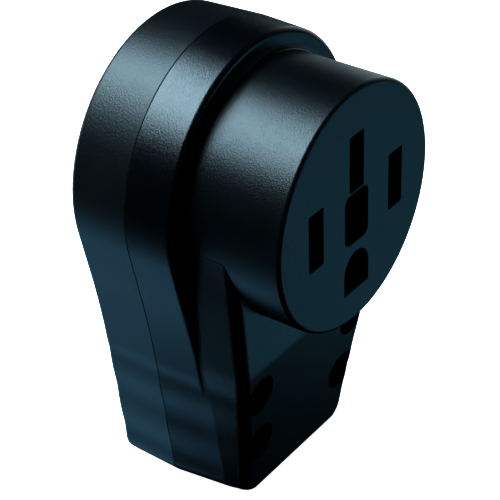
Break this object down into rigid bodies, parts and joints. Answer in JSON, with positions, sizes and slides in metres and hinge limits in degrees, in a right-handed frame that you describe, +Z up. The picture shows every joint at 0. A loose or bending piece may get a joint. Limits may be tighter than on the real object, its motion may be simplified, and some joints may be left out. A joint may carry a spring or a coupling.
{
  "type": "angled power connector",
  "caption": "Angled hand-wired female power connector with a slotted round face on a two-shell black case, for a caravan or boat supply cord.",
  "frame": {"origin": "centre of the whole part's footprint, on the flat bottom of the handle that the cable enters", "axes": "+Z up from the handle to the drum, -Y out of the slotted face towards the plug, +X to the right for someone who looks at the slotted face"},
  "size_m": [0.0632, 0.0488, 0.1029],
  "materials": {
    "front_case": "black moulded thermoplastic with a fine spark-eroded grain",
    "rear_case": "the same black grained thermoplastic",
    "receptacle": "black thermoplastic, the face very finely grained",
    "retainer": "dark grey plain moulded plastic",
    "clamp_plastic": "dark grey plain moulded plastic",
    "contact_brass": "bright stamped brass",
    "brass_screw": "brass screw",
    "silver_screw": "nickel-plated screw",
    "green_screw": "green-dyed screw",
    "plated_steel": "zinc-plated steel",
    "black_screw": "dark zinc-plated steel",
    "grommet_rubber": "soft black rubber"
  },
  "bodies": {
    "housing": {"front_housing": "front_case", "receptacle_shell": "receptacle", "contact_carrier": "receptacle", "contact_retainer": "retainer", "hot_contact_left": "contact_brass", "hot_contact_right": "contact_brass", "neutral_contact": "contact_brass", "ground_contact": "contact_brass", "retainer_screw_left": "plated_steel", "retainer_screw_right": "plated_steel", "cable_grommet": "grommet_rubber"},
    "rear_cover": {"rear_cover": "rear_case"},
    "hot_left_pressure_plate": {"hot_left_pressure_plate": "plated_steel"},
    "hot_left_terminal_screw": {"hot_left_terminal_screw": "brass_screw"},
    "hot_right_pressure_plate": {"hot_right_pressure_plate": "plated_steel"},
    "hot_right_terminal_screw": {"hot_right_terminal_screw": "brass_screw"},
    "neutral_pressure_plate": {"neutral_pressure_plate": "plated_steel"},
    "neutral_terminal_screw": {"neutral_terminal_screw": "silver_screw"},
    "ground_pressure_plate": {"ground_pressure_plate": "plated_steel"},
    "ground_terminal_screw": {"ground_terminal_screw": "green_screw"},
    "cord_clamp": {"cord_clamp": "clamp_plastic"},
    "clamp_screw_left": {"clamp_screw_left": "plated_steel"},
    "clamp_screw_right": {"clamp_screw_right": "plated_steel"},
    "case_screw_upper_left": {"case_screw_upper_left": "black_screw"},
    "case_screw_upper_right": {"case_screw_upper_right": "black_screw"},
    "case_screw_lower_left": {"case_screw_lower_left": "black_screw"},
    "case_screw_lower_right": {"case_screw_lower_right": "black_screw"}
  },
  "joints": [
    {"name": "rear_cover_lift_off", "type": "slide", "parent": "housing", "child": "rear_cover", "axis": [0, 1, 0], "range_m": [0, 0.06]},
    {"name": "hot_left_plate_travel", "type": "slide", "parent": "housing", "child": "hot_left_pressure_plate", "axis": [0, 1, 0], "range_m": [0, 0.0054]},
    {"name": "hot_left_screw_turn", "type": "hinge", "parent": "hot_left_pressure_plate", "child": "hot_left_terminal_screw", "pos_m": [-0.0143, 0.01125, 0.0713], "axis": [0, 1, 0], "range_deg": [0, 2451]},
    {"name": "hot_right_plate_travel", "type": "slide", "parent": "housing", "child": "hot_right_pressure_plate", "axis": [0, 1, 0], "range_m": [0, 0.0054]},
    {"name": "hot_right_screw_turn", "type": "hinge", "parent": "hot_right_pressure_plate", "child": "hot_right_terminal_screw", "pos_m": [0.0143, 0.01125, 0.0713], "axis": [0, 1, 0], "range_deg": [0, 2451]},
    {"name": "neutral_plate_travel", "type": "slide", "parent": "housing", "child": "neutral_pressure_plate", "axis": [0, 1, 0], "range_m": [0, 0.0054]},
    {"name": "neutral_screw_turn", "type": "hinge", "parent": "neutral_pressure_plate", "child": "neutral_terminal_screw", "pos_m": [0, 0.01125, 0.08195], "axis": [0, 1, 0], "range_deg": [0, 2451]},
    {"name": "ground_plate_travel", "type": "slide", "parent": "housing", "child": "ground_pressure_plate", "axis": [0, 1, 0], "range_m": [0, 0.0054]},
    {"name": "ground_screw_turn", "type": "hinge", "parent": "ground_pressure_plate", "child": "ground_terminal_screw", "pos_m": [0, 0.01125, 0.0565], "axis": [0, 1, 0], "range_deg": [0, 2451]},
    {"name": "cord_clamp_travel", "type": "slide", "parent": "housing", "child": "cord_clamp", "axis": [0, 1, 0], "range_m": [0, 0.0034]},
    {"name": "clamp_screw_left_turn", "type": "hinge", "parent": "cord_clamp", "child": "clamp_screw_left", "pos_m": [-0.0152, 0.00845, 0.0217], "axis": [0, 1, 0], "range_deg": [0, 1544]},
    {"name": "clamp_screw_right_turn", "type": "hinge", "parent": "cord_clamp", "child": "clamp_screw_right", "pos_m": [0.0152, 0.00845, 0.0217], "axis": [0, 1, 0], "range_deg": [0, 1544]},
    {"name": "case_screw_upper_left_withdraw", "type": "slide", "parent": "housing", "child": "case_screw_upper_left", "axis": [0, -1, 0], "range_m": [0, 0.032]},
    {"name": "case_screw_upper_right_withdraw", "type": "slide", "parent": "housing", "child": "case_screw_upper_right", "axis": [0, -1, 0], "range_m": [0, 0.032]},
    {"name": "case_screw_lower_left_withdraw", "type": "slide", "parent": "housing", "child": "case_screw_lower_left", "axis": [0, -1, 0], "range_m": [0, 0.032]},
    {"name": "case_screw_lower_right_withdraw", "type": "slide", "parent": "housing", "child": "case_screw_lower_right", "axis": [0, -1, 0], "range_m": [0, 0.032]}
  ],
  "couplings": [
    {"joint": "hot_left_screw_turn", "follows": "hot_left_plate_travel", "rad_per_m": 7915.8},
    {"joint": "hot_right_screw_turn", "follows": "hot_right_plate_travel", "rad_per_m": 7915.8},
    {"joint": "neutral_screw_turn", "follows": "neutral_plate_travel", "rad_per_m": 7915.8},
    {"joint": "ground_screw_turn", "follows": "ground_plate_travel", "rad_per_m": 7915.8},
    {"joint": "clamp_screw_left_turn", "follows": "cord_clamp_travel", "rad_per_m": 7915.8},
    {"joint": "clamp_screw_right_turn", "follows": "cord_clamp_travel", "rad_per_m": 7915.8}
  ]
}
